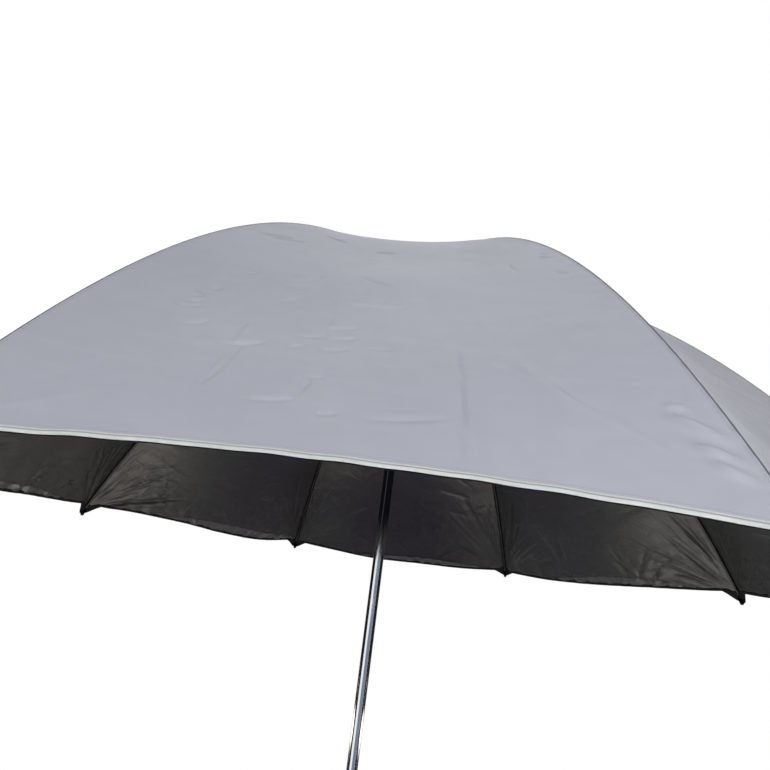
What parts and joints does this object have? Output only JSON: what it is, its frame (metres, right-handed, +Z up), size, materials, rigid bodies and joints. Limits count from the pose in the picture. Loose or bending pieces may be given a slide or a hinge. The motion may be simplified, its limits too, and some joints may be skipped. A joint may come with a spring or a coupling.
{
  "type": "beach umbrella",
  "caption": "Beach umbrella with a jointed-rib folding canopy on a tilting, height-adjustable steel pole with a ground spike.",
  "frame": {"origin": "on the pole's axis, at the flat underside of the spike's shoulder, where the pole's lower end meets the ground or a holder", "axes": "+Z up along the pole; canopy panel 1, the one that faces the camera in the picture, faces -Y; +X to its right"},
  "size_m": [1.9372, 1.9372, 2.3603],
  "materials": {
    "chromed_steel": "polished chromed tube",
    "bright_steel": "bright zinc plated",
    "black_plastic": "fine moulded grain, matte",
    "black_steel": "black coated, semi-gloss",
    "silver_cloth": "coated woven cloth, silver-grey outside with a soft sheen, black inside"
  },
  "bodies": {
    "base": {"lower_pole": "chromed_steel", "ground_spike": "black_plastic", "clamp_collar": "black_plastic"},
    "clamp_screw": {"clamp_screw": "black_plastic"},
    "middle": {"middle_pole": "chromed_steel", "tilt_fork": "black_plastic", "tilt_bolt": "bright_steel", "tilt_nut": "bright_steel", "fork_rivet": "bright_steel"},
    "head": {"tilt_head": "black_plastic", "head_rivet": "bright_steel", "upper_pole": "chromed_steel", "crown_hub": "black_plastic", "crown_ring": "bright_steel", "finial": "black_plastic"},
    "tilt_button": {"tilt_button": "black_plastic"},
    "runner_catch": {"runner_catch": "bright_steel"},
    "rib_inner_1": {"rib_inner_1": "black_steel", "canopy_panel_1": "silver_cloth"},
    "rib_outer_1": {"rib_outer_1": "black_steel", "tip_cap_1": "black_plastic"},
    "stretcher_1": {"stretcher_1": "black_steel"},
    "rib_inner_2": {"rib_inner_2": "black_steel", "canopy_panel_2": "silver_cloth"},
    "rib_outer_2": {"rib_outer_2": "black_steel", "tip_cap_2": "black_plastic"},
    "stretcher_2": {"stretcher_2": "black_steel"},
    "rib_inner_3": {"rib_inner_3": "black_steel", "canopy_panel_3": "silver_cloth"},
    "rib_outer_3": {"rib_outer_3": "black_steel", "tip_cap_3": "black_plastic"},
    "stretcher_3": {"stretcher_3": "black_steel"},
    "rib_inner_4": {"rib_inner_4": "black_steel", "canopy_panel_4": "silver_cloth"},
    "rib_outer_4": {"rib_outer_4": "black_steel", "tip_cap_4": "black_plastic"},
    "stretcher_4": {"stretcher_4": "black_steel"},
    "rib_inner_5": {"rib_inner_5": "black_steel", "canopy_panel_5": "silver_cloth"},
    "rib_outer_5": {"rib_outer_5": "black_steel", "tip_cap_5": "black_plastic"},
    "stretcher_5": {"stretcher_5": "black_steel"},
    "rib_inner_6": {"rib_inner_6": "black_steel", "canopy_panel_6": "silver_cloth"},
    "rib_outer_6": {"rib_outer_6": "black_steel", "tip_cap_6": "black_plastic"},
    "stretcher_6": {"stretcher_6": "black_steel"},
    "rib_inner_7": {"rib_inner_7": "black_steel", "canopy_panel_7": "silver_cloth"},
    "rib_outer_7": {"rib_outer_7": "black_steel", "tip_cap_7": "black_plastic"},
    "stretcher_7": {"stretcher_7": "black_steel"},
    "rib_inner_8": {"rib_inner_8": "black_steel", "canopy_panel_8": "silver_cloth"},
    "rib_outer_8": {"rib_outer_8": "black_steel", "tip_cap_8": "black_plastic"},
    "stretcher_8": {"stretcher_8": "black_steel"},
    "runner": {"runner": "black_plastic", "runner_ring": "bright_steel"}
  },
  "joints": [
    {"name": "clamp_screw_turn", "type": "hinge", "parent": "base", "child": "clamp_screw", "pos_m": [0, 0, 0.61], "axis": [1, 0, 0], "range_deg": [-720, 0]},
    {"name": "height", "type": "slide", "parent": "base", "child": "middle", "axis": [0, 0, 1], "range_m": [-0.18, 0]},
    {"name": "tilt", "type": "hinge", "parent": "middle", "child": "head", "pos_m": [0, 0, 0.87], "axis": [1, 0, 0], "range_deg": [0, 40]},
    {"name": "tilt_button_press", "type": "slide", "parent": "head", "child": "tilt_button", "axis": [0, 1, 0], "range_m": [0, 0.0025], "stiffness_N_per_m": 600, "springref_m": -0.002},
    {"name": "catch_out", "type": "slide", "parent": "head", "child": "runner_catch", "axis": [1, 0, 0], "range_m": [0, 0.004]},
    {"name": "fold", "type": "hinge", "parent": "head", "child": "rib_inner_1", "pos_m": [0.01225, -0.02956, 2.2], "axis": [0.9239, 0.3827, 0], "range_deg": [0, 69.5], "deforming": ["canopy_panel_1", "canopy_panel_2", "canopy_panel_3", "canopy_panel_4", "canopy_panel_5", "canopy_panel_6", "canopy_panel_7", "canopy_panel_8"]},
    {"name": "rib_outer_1_turn", "type": "hinge", "parent": "rib_inner_1", "child": "rib_outer_1", "pos_m": [0.19869, -0.47969, 2.03364], "axis": [0.9239, 0.3827, 0], "range_deg": [-24.9, 0]},
    {"name": "stretcher_1_turn", "type": "hinge", "parent": "rib_inner_1", "child": "stretcher_1", "pos_m": [0.19869, -0.47969, 2.03364], "axis": [0.9239, 0.3827, 0], "range_deg": [-139, 0]},
    {"name": "rib_inner_2_turn", "type": "hinge", "parent": "head", "child": "rib_inner_2", "pos_m": [0.02956, -0.01225, 2.2], "axis": [0.3827, 0.9239, 0], "range_deg": [0, 69.5]},
    {"name": "rib_outer_2_turn", "type": "hinge", "parent": "rib_inner_2", "child": "rib_outer_2", "pos_m": [0.47969, -0.19869, 2.03364], "axis": [0.3827, 0.9239, 0], "range_deg": [-24.9, 0]},
    {"name": "stretcher_2_turn", "type": "hinge", "parent": "rib_inner_2", "child": "stretcher_2", "pos_m": [0.47969, -0.19869, 2.03364], "axis": [0.3827, 0.9239, 0], "range_deg": [-139, 0]},
    {"name": "rib_inner_3_turn", "type": "hinge", "parent": "head", "child": "rib_inner_3", "pos_m": [0.02956, 0.01225, 2.2], "axis": [-0.3827, 0.9239, 0], "range_deg": [0, 69.5]},
    {"name": "rib_outer_3_turn", "type": "hinge", "parent": "rib_inner_3", "child": "rib_outer_3", "pos_m": [0.47969, 0.19869, 2.03364], "axis": [-0.3827, 0.9239, 0], "range_deg": [-24.9, 0]},
    {"name": "stretcher_3_turn", "type": "hinge", "parent": "rib_inner_3", "child": "stretcher_3", "pos_m": [0.47969, 0.19869, 2.03364], "axis": [-0.3827, 0.9239, 0], "range_deg": [-139, 0]},
    {"name": "rib_inner_4_turn", "type": "hinge", "parent": "head", "child": "rib_inner_4", "pos_m": [0.01225, 0.02956, 2.2], "axis": [-0.9239, 0.3827, 0], "range_deg": [0, 69.5]},
    {"name": "rib_outer_4_turn", "type": "hinge", "parent": "rib_inner_4", "child": "rib_outer_4", "pos_m": [0.19869, 0.47969, 2.03364], "axis": [-0.9239, 0.3827, 0], "range_deg": [-24.9, 0]},
    {"name": "stretcher_4_turn", "type": "hinge", "parent": "rib_inner_4", "child": "stretcher_4", "pos_m": [0.19869, 0.47969, 2.03364], "axis": [-0.9239, 0.3827, 0], "range_deg": [-139, 0]},
    {"name": "rib_inner_5_turn", "type": "hinge", "parent": "head", "child": "rib_inner_5", "pos_m": [-0.01225, 0.02956, 2.2], "axis": [-0.9239, -0.3827, 0], "range_deg": [0, 69.5]},
    {"name": "rib_outer_5_turn", "type": "hinge", "parent": "rib_inner_5", "child": "rib_outer_5", "pos_m": [-0.19869, 0.47969, 2.03364], "axis": [-0.9239, -0.3827, 0], "range_deg": [-24.9, 0]},
    {"name": "stretcher_5_turn", "type": "hinge", "parent": "rib_inner_5", "child": "stretcher_5", "pos_m": [-0.19869, 0.47969, 2.03364], "axis": [-0.9239, -0.3827, 0], "range_deg": [-139, 0]},
    {"name": "rib_inner_6_turn", "type": "hinge", "parent": "head", "child": "rib_inner_6", "pos_m": [-0.02956, 0.01225, 2.2], "axis": [-0.3827, -0.9239, 0], "range_deg": [0, 69.5]},
    {"name": "rib_outer_6_turn", "type": "hinge", "parent": "rib_inner_6", "child": "rib_outer_6", "pos_m": [-0.47969, 0.19869, 2.03364], "axis": [-0.3827, -0.9239, 0], "range_deg": [-24.9, 0]},
    {"name": "stretcher_6_turn", "type": "hinge", "parent": "rib_inner_6", "child": "stretcher_6", "pos_m": [-0.47969, 0.19869, 2.03364], "axis": [-0.3827, -0.9239, 0], "range_deg": [-139, 0]},
    {"name": "rib_inner_7_turn", "type": "hinge", "parent": "head", "child": "rib_inner_7", "pos_m": [-0.02956, -0.01225, 2.2], "axis": [0.3827, -0.9239, 0], "range_deg": [0, 69.5]},
    {"name": "rib_outer_7_turn", "type": "hinge", "parent": "rib_inner_7", "child": "rib_outer_7", "pos_m": [-0.47969, -0.19869, 2.03364], "axis": [0.3827, -0.9239, 0], "range_deg": [-24.9, 0]},
    {"name": "stretcher_7_turn", "type": "hinge", "parent": "rib_inner_7", "child": "stretcher_7", "pos_m": [-0.47969, -0.19869, 2.03364], "axis": [0.3827, -0.9239, 0], "range_deg": [-139, 0]},
    {"name": "rib_inner_8_turn", "type": "hinge", "parent": "head", "child": "rib_inner_8", "pos_m": [-0.01225, -0.02956, 2.2], "axis": [0.9239, -0.3827, 0], "range_deg": [0, 69.5]},
    {"name": "rib_outer_8_turn", "type": "hinge", "parent": "rib_inner_8", "child": "rib_outer_8", "pos_m": [-0.19869, -0.47969, 2.03364], "axis": [0.9239, -0.3827, 0], "range_deg": [-24.9, 0]},
    {"name": "stretcher_8_turn", "type": "hinge", "parent": "rib_inner_8", "child": "stretcher_8", "pos_m": [-0.19869, -0.47969, 2.03364], "axis": [0.9239, -0.3827, 0], "range_deg": [-139, 0]},
    {"name": "runner_turn", "type": "hinge", "parent": "stretcher_1", "child": "runner", "pos_m": [0.01225, -0.02956, 1.86728], "axis": [0.9239, 0.3827, 0], "range_deg": [0, 69.5]}
  ],
  "couplings": [
    {"joint": "rib_outer_1_turn", "follows": "fold", "ratio": -0.358},
    {"joint": "stretcher_1_turn", "follows": "fold", "ratio": -2},
    {"joint": "rib_inner_2_turn", "follows": "fold", "ratio": 1},
    {"joint": "rib_outer_2_turn", "follows": "fold", "ratio": -0.358},
    {"joint": "stretcher_2_turn", "follows": "fold", "ratio": -2},
    {"joint": "rib_inner_3_turn", "follows": "fold", "ratio": 1},
    {"joint": "rib_outer_3_turn", "follows": "fold", "ratio": -0.358},
    {"joint": "stretcher_3_turn", "follows": "fold", "ratio": -2},
    {"joint": "rib_inner_4_turn", "follows": "fold", "ratio": 1},
    {"joint": "rib_outer_4_turn", "follows": "fold", "ratio": -0.358},
    {"joint": "stretcher_4_turn", "follows": "fold", "ratio": -2},
    {"joint": "rib_inner_5_turn", "follows": "fold", "ratio": 1},
    {"joint": "rib_outer_5_turn", "follows": "fold", "ratio": -0.358},
    {"joint": "stretcher_5_turn", "follows": "fold", "ratio": -2},
    {"joint": "rib_inner_6_turn", "follows": "fold", "ratio": 1},
    {"joint": "rib_outer_6_turn", "follows": "fold", "ratio": -0.358},
    {"joint": "stretcher_6_turn", "follows": "fold", "ratio": -2},
    {"joint": "rib_inner_7_turn", "follows": "fold", "ratio": 1},
    {"joint": "rib_outer_7_turn", "follows": "fold", "ratio": -0.358},
    {"joint": "stretcher_7_turn", "follows": "fold", "ratio": -2},
    {"joint": "rib_inner_8_turn", "follows": "fold", "ratio": 1},
    {"joint": "rib_outer_8_turn", "follows": "fold", "ratio": -0.358},
    {"joint": "stretcher_8_turn", "follows": "fold", "ratio": -2},
    {"joint": "runner_turn", "follows": "fold", "ratio": 1}
  ]
}
